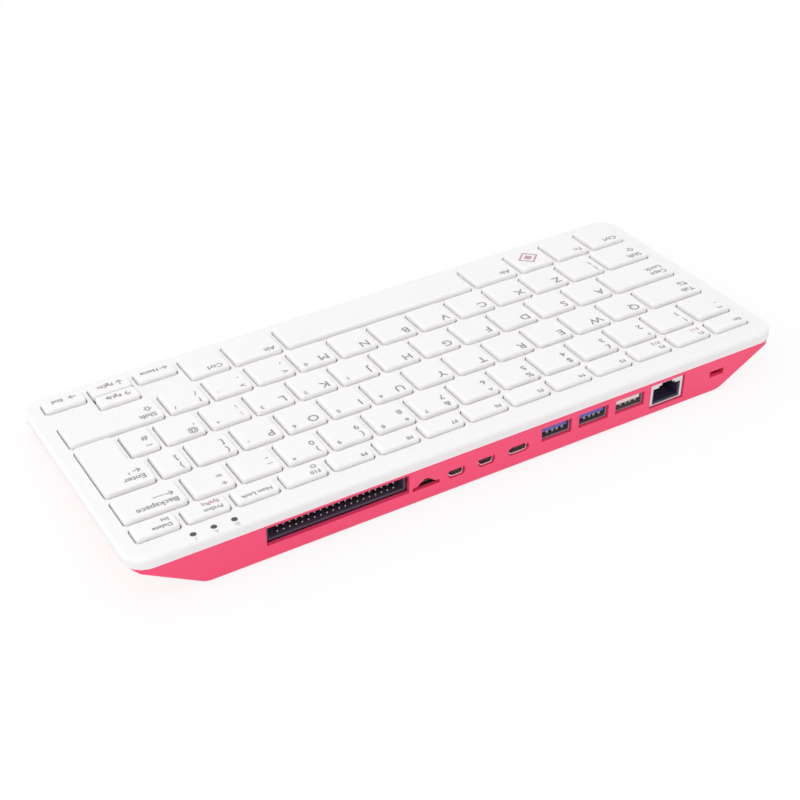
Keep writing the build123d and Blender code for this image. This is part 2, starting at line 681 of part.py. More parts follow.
def heat_spreader():
    """Aluminium plate over the board, pressed down to it in a dimple at each screw."""
    rear, front = [REAR_Y - back for back in SPREADER_BACK]
    plate = block(SPREADER_X, (front, rear), (SPREADER_LOW, SPREADER_LOW + SPREADER_T))
    plate += [post(x, y, BOARD_Z, SPREADER_LOW, DIMPLE_R) for x, y in SCREWS]
    return plate - [post(x, y, 0, REAR_H, SCREW_R) for x, y in SCREWS]


def spreader_screws():
    """Pan-head screws through the spreader and the board into the tub's bosses."""
    head = SPREADER_LOW + SPREADER_T
    return [
        post(x, y, FLOOR + SCREW_END, head, PILOT_R) + post(x, y, head, head + SCREW_HEAD_H, SCREW_HEAD_R)
        for x, y in SCREWS
    ]


# Sockets
HEADER_MOUTH = REAR_Y - HEADER_SET


def gpio_header():
    """Black box round the two rows of pins, open to the rear."""
    back, high = HEADER_MOUTH - HEADER_D, HEADER_LOW + HEADER_H
    body = block(around(HEADER_X, HEADER_W), (back, HEADER_MOUTH), (HEADER_LOW, high))
    return body - block(around(HEADER_X, HEADER_W - 2 * HEADER_T), (back + HEADER_T, REAR_Y),
                        (HEADER_LOW + HEADER_T, high - HEADER_T))


def gpio_pins():
    """Two rows of square pins, bent down behind the header to the board."""
    middle = HEADER_LOW + HEADER_H / 2
    back = HEADER_MOUTH - HEADER_D
    pins = []
    for row in (0, 1):
        z = middle + (row - 0.5) * PIN_PITCH
        tail = back - PIN_TAIL - row * PIN_PITCH
        for column in range(PIN_COUNT):
            x = around(HEADER_X + (column - (PIN_COUNT - 1) / 2) * PIN_PITCH, PIN)
            pin = block(x, (tail - PIN / 2, HEADER_MOUTH - PIN_SHORT), around(z, PIN))
            pins.append(pin + block(x, around(tail, PIN), (BOARD_Z, z)))
    return pins


def microsd_socket():
    """Flat metal card socket with its mouth at the rear."""
    mouth = REAR_Y - CARD_SET
    back = mouth - CARD_SOCKET_D
    body = block(around(CARD_X, CARD_SOCKET_W), (back, mouth), (BOARD_Z, BOARD_Z + CARD_SOCKET_H))
    return body - block(around(CARD_X, CARD_MOUTH), (back + CARD_BACK, REAR_Y),
                        (CARD_LOW, CARD_LOW + CARD_T))


def micro_hdmi_shells():
    """Folded steel shells with slanted lower corners."""
    shells = []
    for x in HDMI_X:
        outer = rear_profile(hdmi_points(0), x, BOARD_Z, SMALL_MOUTH - HDMI_D, HDMI_D)
        inner = rear_profile(hdmi_points(-SHELL_T), x, BOARD_Z, SMALL_MOUTH - HDMI_D + SHELL_T, HDMI_D)
        shells.append(outer - inner)
    return shells


def usb_c_shell():
    """Drawn steel shell of the power socket, round at both ends."""
    outer = stadium(USB_C_W, USB_C_H, BOARD_Z, SMALL_MOUTH - USB_C_D, USB_C_D)
    inner = stadium(USB_C_W - 2 * SHELL_T, USB_C_H - 2 * SHELL_T, BOARD_Z + SHELL_T,
                    SMALL_MOUTH - USB_C_D + SHELL_T, USB_C_D)
    return outer - inner


def port_tongues():
    """Contact tongues of the two display sockets and of the power socket."""
    tongues = []
    for x, width, height, depth in [*[(x, HDMI_W, HDMI_H, HDMI_D) for x in HDMI_X],
                                    (USB_C_X, USB_C_W, USB_C_H, USB_C_D)]:
        back = SMALL_MOUTH - depth + SHELL_T
        tongues.append(block(around(x, TONGUE_SHARE * width), (back, SMALL_MOUTH - TONGUE_SET),
                             around(BOARD_Z + height / 2, TONGUE_T)))
    return tongues


def usb_a_shells():
    """Folded steel shells of the three large sockets."""
    back = USB_MOUTH - USB_D
    shells = []
    for x in USB_X:
        outer = block(around(x, USB_W), (back, USB_MOUTH), (USB_LOW, USB_LOW + USB_H))
        shells.append(outer - block(around(x, USB_W - 2 * SHELL_T), (back + SHELL_T, REAR_Y),
                                    (USB_LOW + SHELL_T, USB_LOW + USB_H - SHELL_T)))
    return shells


def usb_tongue(x):
    """Contact tongue with its block at the back of the shell."""
    back = USB_MOUTH - USB_D + SHELL_T
    tip = USB_MOUTH - USB_TONGUE_SET
    root = tip - USB_TONGUE_L
    low, high = USB_LOW + SHELL_T, USB_LOW + USB_H - SHELL_T
    top = high - USB_TONGUE_DROP
    body = block(around(x, USB_W - 2 * SHELL_T), (back, root), (low, high))
    return body + block(around(x, USB_TONGUE_W), (root, tip), (top - USB_TONGUE_T, top))


def usb3_tongues():
    return [usb_tongue(x) for x in USB_X[:2]]


def usb2_tongue():
    return usb_tongue(USB_X[2])


def plug_points(show):
    """Plug outline with the two steps of its latch notch, grown by show at its sides and floor."""
    half, latch, tip = [width / 2 + show for width in (PLUG_W, LATCH_W, LATCH_TIP_W)]
    first, second = PLUG_H + LATCH_H, PLUG_H + 2 * LATCH_H
    right = [(half, -show), (half, PLUG_H), (latch, PLUG_H), (latch, first), (tip, first), (tip, second)]
    return right + [(-x, z) for x, z in reversed(right)]


PLUG_Z = LAN_LOW + PLUG_FLOOR


def ethernet_shell():
    """Metal box of the network jack, open at its mouth in the shape of the plug."""
    back = LAN_MOUTH - LAN_D
    shell = block(around(LAN_X, LAN_W), (back, LAN_MOUTH), (LAN_LOW, LAN_LOW + LAN_H))
    shell -= block(around(LAN_X, LAN_W - 2 * SHELL_T), (back + SHELL_T, LAN_MOUTH - SHELL_T),
                   (LAN_LOW + SHELL_T, LAN_LOW + LAN_H - SHELL_T))
    mouth = rear_profile(plug_points(JACK_SHOW), LAN_X, PLUG_Z, LAN_MOUTH - SHELL_T, SHELL_T + CUT)
    return shell - mouth


def ethernet_insert():
    """Black moulding inside the jack with the plug's hollow."""
    mouth = LAN_MOUTH - SHELL_T
    body = block(around(LAN_X, LAN_W - 2 * SHELL_T), (LAN_MOUTH - LAN_D + SHELL_T, mouth),
                 (LAN_LOW + SHELL_T, LAN_LOW + LAN_H - SHELL_T))
    return body - rear_profile(plug_points(0), LAN_X, PLUG_Z, mouth - PLUG_D, PLUG_D + CUT)


def ethernet_contacts():
    """Eight spring wires that rise from the floor of the plug's hollow."""
    back = LAN_MOUTH - SHELL_T - PLUG_D
    points = [(back, CONTACT_RISE), (back, CONTACT_RISE + CONTACT), (back + CONTACT_RUN, CONTACT),
              (back + CONTACT_RUN, 0)]
    face = make_face(Polyline(*points, close=True))
    wires = []
    for step in range(CONTACT_COUNT):
        x = LAN_X + (step - (CONTACT_COUNT - 1) / 2) * CONTACT_PITCH - CONTACT / 2
        side = Plane(origin=(x, 0, PLUG_Z), x_dir=(0, 1, 0), z_dir=(1, 0, 0))
        wires.append(extrude(side * face, CONTACT))
    return wires


# Export, one file for each node
NODES = {
    "top_cover": top_cover, "indicator_lenses": indicator_lenses, "key_frame": key_frame,
    "dome_sheet": dome_sheet, "switch_membrane": switch_membrane,
    "keyboard_backplate": keyboard_backplate, "keyboard_ribbon": keyboard_ribbon,
    "ribbon_socket": ribbon_socket, "bottom_tub": bottom_tub, "rubber_feet": rubber_feet,
    "main_board": main_board, "processor": processor, "thermal_pad": thermal_pad,
    "board_chips": board_chips, "wireless_can": wireless_can, "heat_spreader": heat_spreader,
    "spreader_screws": spreader_screws, "gpio_header": gpio_header, "gpio_pins": gpio_pins,
    "microsd_socket": microsd_socket, "micro_hdmi_shells": micro_hdmi_shells,
    "usb_c_shell": usb_c_shell, "port_tongues": port_tongues, "usb_a_shells": usb_a_shells,
    "usb3_tongues": usb3_tongues, "usb2_tongue": usb2_tongue, "ethernet_shell": ethernet_shell,
    "ethernet_insert": ethernet_insert, "ethernet_contacts": ethernet_contacts,
}


def save(node, shape):
    """Write a node; a list becomes a group of separate solids."""
    pieces = shape if isinstance(shape, list) else [shape]
    solids = [solid for piece in pieces for solid in piece.solids()]
    export_step(solids[0] if len(solids) == 1 else Compound(children=solids), f"parts/{node}.step")


os.makedirs("parts", exist_ok=True)
for node, make in NODES.items():
    save(node, make())
for name in SINGLES:
    save(f"{name}_key", keycap(name))
for bank, names in BANKS.items():
    save(bank, [keycap(name) for name in names])
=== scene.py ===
import json
from math import radians

import bmesh
import bpy
from mathutils import Matrix, Vector


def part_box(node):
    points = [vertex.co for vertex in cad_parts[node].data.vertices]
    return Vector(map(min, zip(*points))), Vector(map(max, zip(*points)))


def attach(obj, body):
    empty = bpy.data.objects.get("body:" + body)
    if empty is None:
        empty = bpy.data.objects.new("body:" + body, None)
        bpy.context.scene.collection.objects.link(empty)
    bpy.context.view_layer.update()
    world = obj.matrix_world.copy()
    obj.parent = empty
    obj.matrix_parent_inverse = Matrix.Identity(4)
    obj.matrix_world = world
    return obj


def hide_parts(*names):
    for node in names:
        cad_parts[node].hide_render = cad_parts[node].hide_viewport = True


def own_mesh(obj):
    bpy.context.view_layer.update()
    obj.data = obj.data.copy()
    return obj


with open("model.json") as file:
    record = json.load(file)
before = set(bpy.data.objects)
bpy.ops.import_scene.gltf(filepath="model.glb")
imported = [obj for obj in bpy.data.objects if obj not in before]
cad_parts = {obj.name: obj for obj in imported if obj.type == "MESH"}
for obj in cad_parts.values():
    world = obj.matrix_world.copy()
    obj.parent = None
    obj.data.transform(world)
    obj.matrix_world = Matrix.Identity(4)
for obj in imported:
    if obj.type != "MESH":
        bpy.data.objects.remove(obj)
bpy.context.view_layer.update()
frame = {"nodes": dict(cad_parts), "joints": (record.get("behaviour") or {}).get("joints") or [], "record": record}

# Bottom tub
# One injection-moulded ABS wedge in bright pink, open at the top under the keyboard. Its rear wall is
# pierced for the sockets, and its faces carry the fine spark-eroded grain of the mould.
MM = 0.001
HOLE_ROUND = 0.25 * MM
SHARP = radians(40)
FLAT = radians(1)
MERGE = 0.001 * MM
TOUCH = 0.01 * MM
DRIFT = 28 * MM
SOAK = 0.8 * MM
PLASTIC_IOR = 1.53
BODY_OF = {node: body for body, nodes in frame["record"]["behaviour"]["bodies"].items() for node in nodes}


def linear(code):
    """Linear colour with alpha from an sRGB hex value."""
    parts = [int(code[i:i + 2], 16) / 255 for i in (0, 2, 4)]
    return (*[p / 12.92 if p <= 0.04045 else ((p + 0.055) / 1.055) ** 2.4 for p in parts], 1.0)


def add(tree, kind, inputs=None, **settings):
    """Adds one node; an input that is given an output is linked, any other value is set."""
    node = tree.nodes.new(f"ShaderNode{kind}")
    for name, value in settings.items():
        setattr(node, name, value)
    for name, value in (inputs or {}).items():
        if isinstance(value, bpy.types.NodeSocket):
            tree.links.new(value, node.inputs[name])
        else:
            node.inputs[name].default_value = value
    return node


def new_material(name):
    """An empty material with its node tree and output."""
    material = bpy.data.materials.new(name)
    material.use_nodes = True
    tree = material.node_tree
    tree.nodes.clear()
    return material, tree, add(tree, "OutputMaterial")


# Mould grain is under 0.1 mm wide. It is drawn several times as coarse here, so that it shows.
def moulded(name, colour, shade, roughness, grain, depth, scatter=0.0):
    """Moulded plastic or rubber, or ink: an even grain that also varies the gloss, a slow drift of tone, and
    light that soaks in a little where scatter is above 0. Grain width and depth are in millimetres."""
    material, tree, output = new_material(name)
    place = add(tree, "TexCoord").outputs["Object"]
    drift = add(tree, "TexNoise", {"Vector": place, "Scale": 1 / DRIFT, "Detail": 3.0})
    fine = add(tree, "TexNoise", {"Vector": place, "Scale": 1 / (grain * MM), "Detail": 2.0})
    tone = add(tree, "MixRGB", {"Fac": drift.outputs["Fac"], "Color1": linear(colour),
                                "Color2": linear(shade)})
    gloss = add(tree, "MapRange", {"Value": fine.outputs["Fac"], "To Min": roughness - 0.05,
                                   "To Max": roughness + 0.07})
    relief = add(tree, "Bump", {"Height": fine.outputs["Fac"], "Strength": 0.35, "Distance": depth * MM})
    shader = add(tree, "BsdfPrincipled", {
        "Base Color": tone.outputs["Color"], "Roughness": gloss.outputs["Result"],
        "Normal": relief.outputs["Normal"], "IOR": PLASTIC_IOR,
        "Subsurface Weight": scatter, "Subsurface Scale": SOAK, "Subsurface Radius": (1.0, 1.0, 1.0)})
    tree.links.new(shader.outputs["BSDF"], output.inputs["Surface"])
    return material


def solid_copy(node):
    """Mesh of a CAD node, its loose triangles merged into whole faces."""
    bm = bmesh.new()
    bm.from_mesh(frame["nodes"][node].data)
    bmesh.ops.remove_doubles(bm, verts=bm.verts, dist=MERGE)
    bmesh.ops.dissolve_limit(bm, angle_limit=FLAT, verts=bm.verts, edges=bm.edges)
    return bm


def round_edges(bm, edges, width, segments):
    """Rounds the given edges, or cuts them flat where segments is 1."""
    bmesh.ops.bevel(bm, geom=edges, offset=width, offset_type="OFFSET", affect="EDGES", segments=segments,
                    profile=0.5, material=-1, clamp_overlap=True)


def outer_edges(bm, keep):
    """Edges that stand out sharply, out of those that keep accepts."""
    return [e for e in bm.edges if e.is_manifold and e.calc_face_angle_signed() > SHARP and keep(e)]


def make_piece(bm, name, body, material):
    """Object with smooth faces that stay flat where they are flat, riding on a body."""
    for face in bm.faces:
        face.smooth = True
    for edge in bm.edges:
        edge.smooth = not edge.is_manifold or edge.calc_face_angle() < SHARP
    mesh = bpy.data.meshes.new(name)
    bm.to_mesh(mesh)
    bm.free()
    mesh.materials.append(material)
    piece = bpy.data.objects.new(name, mesh)
    bpy.context.scene.collection.objects.link(piece)
    flat = piece.modifiers.new("flat_faces", "WEIGHTED_NORMAL")
    flat.keep_sharp = True
    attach(piece, body)
    return piece


def stand_for(bm, name, node, material):
    """Piece that takes the place of a CAD node."""
    piece = make_piece(bm, name, BODY_OF[node], material)
    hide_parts(node)
    return piece


# Grained ABS: a strong, even pink with a soft satin sheen and no clear reflection.
pink_abs = moulded("pink_moulded_abs", "FF4273", "FF4E7C", 0.42, 0.5, 0.012)
rear_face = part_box("bottom_tub")[1].y - TOUCH
tub = solid_copy("bottom_tub")
hole_edges = outer_edges(tub, lambda e: all(v.co.y > rear_face for v in e.verts))
round_edges(tub, hole_edges, HOLE_ROUND, segments=2)
stand_for(tub, "tub_moulding", "bottom_tub", pink_abs)

# Rubber feet
# Four discs of soft rubber, stuck under the corners of the tub and darker than it is. The lower edge
# of each is moulded round.
FOOT_ROUND = 0.35 * MM
FOOT_LOW = 0.1 * MM
# Rubber: dull and dark, with a coarse skin.
soft_rubber = moulded("soft_rubber", "8A2F4A", "7C2942", 0.75, 0.8, 0.03)
feet = solid_copy("rubber_feet")
foot_edges = outer_edges(feet, lambda e: all(v.co.z < FOOT_LOW for v in e.verts))
round_edges(feet, foot_edges, FOOT_ROUND, segments=3)
stand_for(feet, "foot_discs", "rubber_feet", soft_rubber)

# Circuit board
# Glass-fibre laminate under green solder mask, screwed down on the tub's bosses. The weave shows faintly
# through the gloss, and the copper tracks lift it a little.
WEAVE = 0.9 * MM
TRACK = 2.4 * MM
TRACK_LIFT = 0.03 * MM


def dress(node, material):
    """Gives a CAD node its finish."""
    for slot in frame["nodes"][node].material_slots:
        slot.material = material


# Solder mask: a dark glossy green over lighter tracks. The weave of the glass, about 0.5 mm, and the
# tracks, about 0.2 mm, are drawn coarser, so that they show.
board_mask, tree, output = new_material("green_solder_mask")
place = add(tree, "TexCoord").outputs["Object"]
weave = add(tree, "TexWave", {"Vector": place, "Scale": 1 / (3 * WEAVE), "Distortion": 1.5},
            bands_direction="DIAGONAL")
tracks = add(tree, "TexBrick", {"Vector": place, "Scale": 1 / TRACK, "Mortar Size": 0.06,
                                "Color1": linear("0F2A1D"), "Color2": linear("0C2418"),
                                "Mortar": linear("163A28")})
tint = add(tree, "MixRGB", {"Fac": 0.25, "Color1": tracks.outputs["Color"], "Color2": weave.outputs["Color"]},
           blend_type="MULTIPLY")
lift = add(tree, "Bump", {"Height": tracks.outputs["Fac"], "Strength": 0.3, "Distance": TRACK_LIFT})
shader = add(tree, "BsdfPrincipled", {"Base Color": tint.outputs["Color"], "Roughness": 0.3,
                                      "Normal": lift.outputs["Normal"]})
tree.links.new(shader.outputs["BSDF"], output.inputs["Surface"])
dress("main_board", board_mask)

# Chips and sockets of black moulding compound
# Memory, controllers, the ribbon's socket and the tongues of the small sockets: filled resin, moulded
# round the metal and soldered to the board.
# Filled resin: near black, with a dull, slightly grainy face.
black_compound = moulded("black_moulding_compound", "28232D", "312B37", 0.5, 0.4, 0.015)
for node in ("board_chips", "ribbon_socket", "port_tongues"):
    dress(node, black_compound)

# Socket shells and other sheet metal
# Socket shells, the radio's can, the processor's lid, screws, the keyboard's backplate and the heat
# spreader: thin plated steel, stainless steel and aluminium, cut, folded or drawn from rolled sheet.
SHELL_ROUND = 0.09 * MM
LIP_SET, LIP_HIGH = 0.6 * MM, 0.6 * MM
ROLLED = 0.06
MARK_DEPTH = 0.005 * MM


# Rolling marks are hair-fine. They are drawn about half a millimetre wide, so that they show.
def sheet_metal(name, colour, roughness, mark, along):
    """Rolled or plated sheet: streaks along one axis, each so many millimetres across, change its gloss."""
    material, tree, output = new_material(name)
    place = add(tree, "TexCoord").outputs["Object"]
    stretch = add(tree, "Mapping", {"Vector": place,
                                    "Scale": [ROLLED if axis == along else 1.0 for axis in "XYZ"]})
    streaks = add(tree, "TexNoise", {"Vector": stretch.outputs["Vector"], "Scale": 1 / (mark * MM),
                                     "Detail": 4.0})
    gloss = add(tree, "MapRange", {"Value": streaks.outputs["Fac"], "To Min": roughness - 0.08,
                                   "To Max": roughness + 0.1})
    relief = add(tree, "Bump", {"Height": streaks.outputs["Fac"], "Strength": 0.2, "Distance": MARK_DEPTH})
    shader = add(tree, "BsdfPrincipled", {
        "Base Color": linear(colour), "Roughness": gloss.outputs["Result"], "Metallic": 1.0,
        "Normal": relief.outputs["Normal"]})
    tree.links.new(shader.outputs["BSDF"], output.inputs["Surface"])
    return material


# Nickel is bright and nearly clear; zinc and aluminium are a soft grey; stainless is a darker satin
# grey; tin is the palest, with a soft shine, and its faint pink is a painted reflection of the pink case.
nickel_sheet = sheet_metal("bright_nickel_plated_sheet", "DADBDD", 0.26, 0.5, "Y")
zinc_steel = sheet_metal("zinc_plated_steel", "B9BBBD", 0.4, 0.6, "X")
rolled_aluminium = sheet_metal("rolled_aluminium", "CBCDCF", 0.38, 0.5, "X")
satin_steel = sheet_metal("satin_stainless_sheet", "B4AFB1", 0.55, 0.5, "Y")
matt_tin = sheet_metal("matt_tin_plated_sheet", "F4E4E6", 0.45, 0.5, "Y")
SHELLS = {"usb_a_shells": satin_steel, "micro_hdmi_shells": matt_tin, "usb_c_shell": matt_tin,
          "ethernet_shell": nickel_sheet, "microsd_socket": satin_steel}
for node, metal in SHELLS.items():
    shell = solid_copy(node)
    if metal is matt_tin:
        # The rim of the small sockets stands back in the wall above its lower lip.
        lip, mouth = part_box(node)[0].z + LIP_HIGH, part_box(node)[1].y - TOUCH
        bmesh.ops.translate(shell, vec=(0, -LIP_SET, 0),
                            verts=[v for v in shell.verts if v.co.y > mouth and v.co.z > lip])
    round_edges(shell, outer_edges(shell, lambda e: True), SHELL_ROUND, segments=2)
    stand_for(shell, f"{node}_sheet", node, metal)
for node in ("wireless_can", "processor", "spreader_screws", "keyboard_backplate"):
    dress(node, zinc_steel)
dress("heat_spreader", rolled_aluminium)

# Thermal pad
# A soft slab of filled silicone, pressed between the processor and the spreader to carry the heat.
# Filled silicone: chalky grey-blue, with no shine.
dress("thermal_pad", moulded("filled_silicone", "8FA3B0", "8498A5", 0.8, 0.7, 0.04))

# Pin header
# A box of black glass-filled nylon, open to the rear, with forty square brass pins pressed through its
# back. Each pin has a thin gold flash and is cut to a blunt point at its tip.
HEADER_ROUND = 0.15 * MM
PIN_POINT = 0.16 * MM
# Glass-filled nylon: black with a mauve bloom where the light meets it. Gold flash: pale, warm and clear.
header_nylon = moulded("glass_filled_nylon", "4E4459", "584D64", 0.5, 0.4, 0.015)
header = solid_copy("gpio_header")
round_edges(header, outer_edges(header, lambda e: True), HEADER_ROUND, segments=2)
stand_for(header, "header_box", "gpio_header", header_nylon)
gold_flash = sheet_metal("gold_flashed_brass", "BFB6B0", 0.28, 0.3, "Y")
pin_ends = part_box("gpio_pins")[1].y - TOUCH
pins = solid_copy("gpio_pins")
point_edges = outer_edges(pins, lambda e: all(v.co.y > pin_ends for v in e.verts))
round_edges(pins, point_edges, PIN_POINT, segments=1)
stand_for(pins, "header_pins", "gpio_pins", gold_flash)

# Socket tongues
# Moulded nylon bars that carry the contacts: blue in the two fast type A sockets, off-white in the slow
# one. Under each bar are four sprung steel strips, which sag from their root and turn up at the bar's tip.
TONGUE_DROP, TONGUE_T = 0.7 * MM, 1.9 * MM
SOCKET_HALF = 6.2 * MM
CONTACT_W, CONTACT_T = 1.0 * MM, 0.12 * MM
CONTACT_RUN, CONTACT_SAG, CONTACT_TURN = 6.4 * MM, 0.8 * MM, 0.15 * MM
CONTACT_X = (-3.5 * MM, -1.0 * MM, 1.0 * MM, 3.5 * MM)
CONTACT_ROUND = 0.03 * MM
# Side of a strip, as distances to the rear of the bar's tip and above its underside.
CONTACT_SIDE = [(-CONTACT_RUN, -CONTACT_T), (-CONTACT_T, -CONTACT_SAG - CONTACT_T),
                (CONTACT_T, -CONTACT_SAG - CONTACT_T), (CONTACT_T, CONTACT_TURN), (0, CONTACT_TURN),
                (0, -CONTACT_SAG), (-CONTACT_T, -CONTACT_SAG), (-CONTACT_RUN, 0)]
# Unfilled nylon: clean colour with a low gloss.
dress("usb3_tongues", moulded("blue_moulded_nylon", "6462BE", "5A58B2", 0.4, 0.4, 0.01))
dress("usb2_tongue", moulded("pale_moulded_nylon", "F6F2EE", "EDE9E4", 0.45, 0.4, 0.01))
contacts = bmesh.new()
for node in ("usb3_tongues", "usb2_tongue"):
    low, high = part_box(node)
    under = high.z - TONGUE_DROP - TONGUE_T
    # The two ends of a node give the middles of two sockets, or twice the middle of one.
    for middle in sorted({round(low.x + SOCKET_HALF, 5), round(high.x - SOCKET_HALF, 5)}):
        for x in CONTACT_X:
            left = middle + x - CONTACT_W / 2
            outline = [contacts.verts.new((left, high.y + y, under + z)) for y, z in CONTACT_SIDE]
            side = contacts.faces.new(outline)
            across = bmesh.ops.extrude_face_region(contacts, geom=[side])["geom"]
            bmesh.ops.translate(contacts, vec=(CONTACT_W, 0, 0),
                                verts=[v for v in across if isinstance(v, bmesh.types.BMVert)])
bmesh.ops.recalc_face_normals(contacts, faces=contacts.faces)
round_edges(contacts, outer_edges(contacts, lambda e: True), CONTACT_ROUND, segments=1)
make_piece(contacts, "socket_contacts", "case", satin_steel)

# Network jack's inside
# A moulded insert with the plug's hollow, pushed into the metal shell, and eight gold-flashed spring
# wires that rise from its floor.
# Nylon: blue-black, with a low gloss that dies away inside.
dress("ethernet_insert", moulded("blue_black_nylon", "34304A", "3C3852", 0.45, 0.4, 0.012))
dress("ethernet_contacts", gold_flash)

# Key mechanism
# The moulded frame that guides the key stems, the printed polyester film that they switch, and the flat
# flexible cable that leaves the film for the board.
# Frame: matt pale grey. Film: smooth, cold and glossy. Cable: ivory, with a light gloss.
dress("key_frame", moulded("grey_moulded_abs", "DADADB", "D2D2D4", 0.5, 0.5, 0.012))
dress("switch_membrane", moulded("polyester_film", "C9D3D6", "BDC9CD", 0.25, 0.8, 0.004))
dress("keyboard_ribbon", moulded("flat_flexible_cable", "E9E7DF", "DFDCD2", 0.35, 0.8, 0.006))

# Dome sheet
# Translucent silicone, moulded with one round dome under each key. A dome folds flat when its key is
# pressed, and lifts the key again.
NORMAL = Vector(frame["joints"][0]["axis"]).normalized()
UPSLOPE = Vector((0, NORMAL.z, -NORMAL.y))
ON_DECK = Matrix((Vector((1, 0, 0)), UPSLOPE, NORMAL)).transposed().to_4x4()
STEEP = 0.9
SHEET_T, SHEET_CORNER = 0.25 * MM, 2.0 * MM
DOME_R, DOME_TIP_R, DOME_ROUND = 1.7 * MM, 1.1 * MM, 0.3 * MM
DOME_SIDES = 20
UNDER_STEM = 3.0 * MM


def upright(edge):
    """Whether an edge stands up from the deck."""
    way = (edge.verts[0].co - edge.verts[1].co).normalized()
    return abs(way.dot(NORMAL)) > STEEP


# Silicone: milky and soft, with a dull sheen.
silicone = moulded("translucent_silicone", "E6E3DC", "DDD9D0", 0.6, 0.6, 0.02)
solid = solid_copy("dome_sheet")
places = [(v.co.x, v.co.dot(UPSLOPE), v.co.dot(NORMAL)) for v in solid.verts]
low, high = (Vector([pick(place[i] for place in places) for i in range(3)]) for pick in (min, max))
face_middles = [face.calc_center_median() for face in solid.faces]
dome_tips = [middle for middle in face_middles if middle.dot(NORMAL) > high.z - TOUCH]
solid.free()
sheet_top, dome_h = low.z + SHEET_T, high.z - low.z - SHEET_T
high.z = sheet_top
sheet = bmesh.new()
bmesh.ops.create_cube(sheet, size=1, matrix=ON_DECK @ Matrix.Translation((low + high) / 2)
                      @ Matrix.Diagonal((*(high - low), 1)))
round_edges(sheet, [e for e in sheet.edges if upright(e)], SHEET_CORNER, segments=4)
stand_for(sheet, "silicone_sheet", "dome_sheet", silicone)
for joint in frame["joints"]:
    cap_verts = [v.co for v in frame["nodes"][joint["child"]].data.vertices]
    stem_low = min(co.dot(NORMAL) for co in cap_verts)
    stem_feet = [co for co in cap_verts if co.dot(NORMAL) < stem_low + TOUCH]
    domes = bmesh.new()
    for tip in dome_tips:
        if any((foot - tip).length < UNDER_STEM for foot in stem_feet):
            bmesh.ops.create_cone(domes, cap_ends=True, segments=DOME_SIDES, radius1=DOME_R,
                                  radius2=DOME_TIP_R, depth=dome_h,
                                  matrix=Matrix.Translation(tip - NORMAL * dome_h / 2) @ ON_DECK)
    crests = outer_edges(domes, lambda e: all(v.co.dot(NORMAL) > sheet_top + dome_h / 2 for v in e.verts))
    round_edges(domes, crests, DOME_ROUND, segments=2)
    piece = make_piece(domes, f"{joint['child']}_domes", "case", silicone)
    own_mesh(piece)

# Top cover
# One white ABS moulding: the deck plate with a hole for every key, and a rim rounded above and below.
# The rim fits round the tub's lip, and the lip's catches snap into pockets in it.
DECK_ROUND, RIM_ROUND = 0.1 * MM, 0.4 * MM
LEVEL_SLACK = 0.02 * MM
cover_mesh = frame["nodes"]["top_cover"].data
deck_level = max(v.co.dot(NORMAL) for v in cover_mesh.vertices)
rim_level = min(v.co.dot(NORMAL) for v in cover_mesh.vertices)


def ends_at(edge, level):
    """For each end of an edge, whether it lies at a level above the origin, square to the deck."""
    return [abs(v.co.dot(NORMAL) - level) < LEVEL_SLACK for v in edge.verts]


# White ABS: light soaks a little way in, so that edges and gaps stay bright.
white_abs = moulded("white_moulded_abs", "FAF7F8", "F7F4F6", 0.45, 0.5, 0.01, scatter=0.6)
cover = solid_copy("top_cover")
round_edges(cover, outer_edges(cover, lambda e: all(ends_at(e, deck_level))), DECK_ROUND, segments=2)
round_edges(cover, outer_edges(cover, lambda e: all(ends_at(e, rim_level))), RIM_ROUND, segments=2)
stand_for(cover, "cover_moulding", "top_cover", white_abs)

# Indicator lenses
# Three round lenses of smoked acrylic, pressed into holes in the deck over the indicator lamps.
# Acrylic: dark grey, smooth and glossy.
dress("indicator_lenses", moulded("smoked_acrylic", "4B4A4E", "434246", 0.2, 0.6, 0.004))

# Keys
# Island keycaps of white ABS on moulded stems, flat on top with rounded corners and a rounded upper
# edge. Each one is its CAD solid with the cut corners turned round.
CORNER_ROUND = 0.5 * MM
TOP_ROUND = 0.85 * MM
CAP_MERGE = 0.002 * MM
# Keycap ABS: the cover's white, a shade lighter, with a shallower grain and a little more sheen.
key_abs = moulded("white_keycap_abs", "FBF8F9", "F9F5F7", 0.42, 0.6, 0.008, scatter=0.6)
for body in [joint["child"] for joint in frame["joints"]]:
    caps = solid_copy(body)
    top = max(v.co.dot(NORMAL) for v in caps.verts)
    corners = outer_edges(caps, lambda e: upright(e) and any(ends_at(e, top)))
    round_edges(caps, corners, CORNER_ROUND, segments=3)
    round_edges(caps, outer_edges(caps, lambda e: all(ends_at(e, top))), TOP_ROUND, segments=4)
    bmesh.ops.remove_doubles(caps, verts=caps.verts, dist=CAP_MERGE)
    stand_for(caps, f"{body}_caps", body, key_abs)

# Key legends
# Letters, numbers and key words, pad-printed on the caps in grey ink, with second functions in red and
# the words of the arrow keys in brown. Each is a thin film of ink, set from the cap's upper left corner.
STROKE, INK_T = 0.085 * MM, 0.03 * MM
GLYPH_STEPS = 3
CAP_SHARE = 0.682
LEFT = 2.4 * MM
PAD_RIGHT = 2.1 * MM
LETTER_LINE, REAR_LINE, FRONT_LINE, PAD_LINE = 3.2 * MM, 2.2 * MM, 7.5 * MM, 2.0 * MM
F_LINE, F_SECOND_LINE = 1.9 * MM, 5.5 * MM
LETTER, WORD, SIGN, SMALL, PAD = 5.8 * MM, 4.0 * MM, 4.3 * MM, 2.8 * MM, 3.1 * MM
ARROW_WORD, SYSTEM_SIGN = 1.1 * SMALL, 1.7 * LETTER
LENS_R = 1.2 * MM
LENS_SIGN, LENS_SIGN_BACK = 2.2 * MM, 2.9 * MM
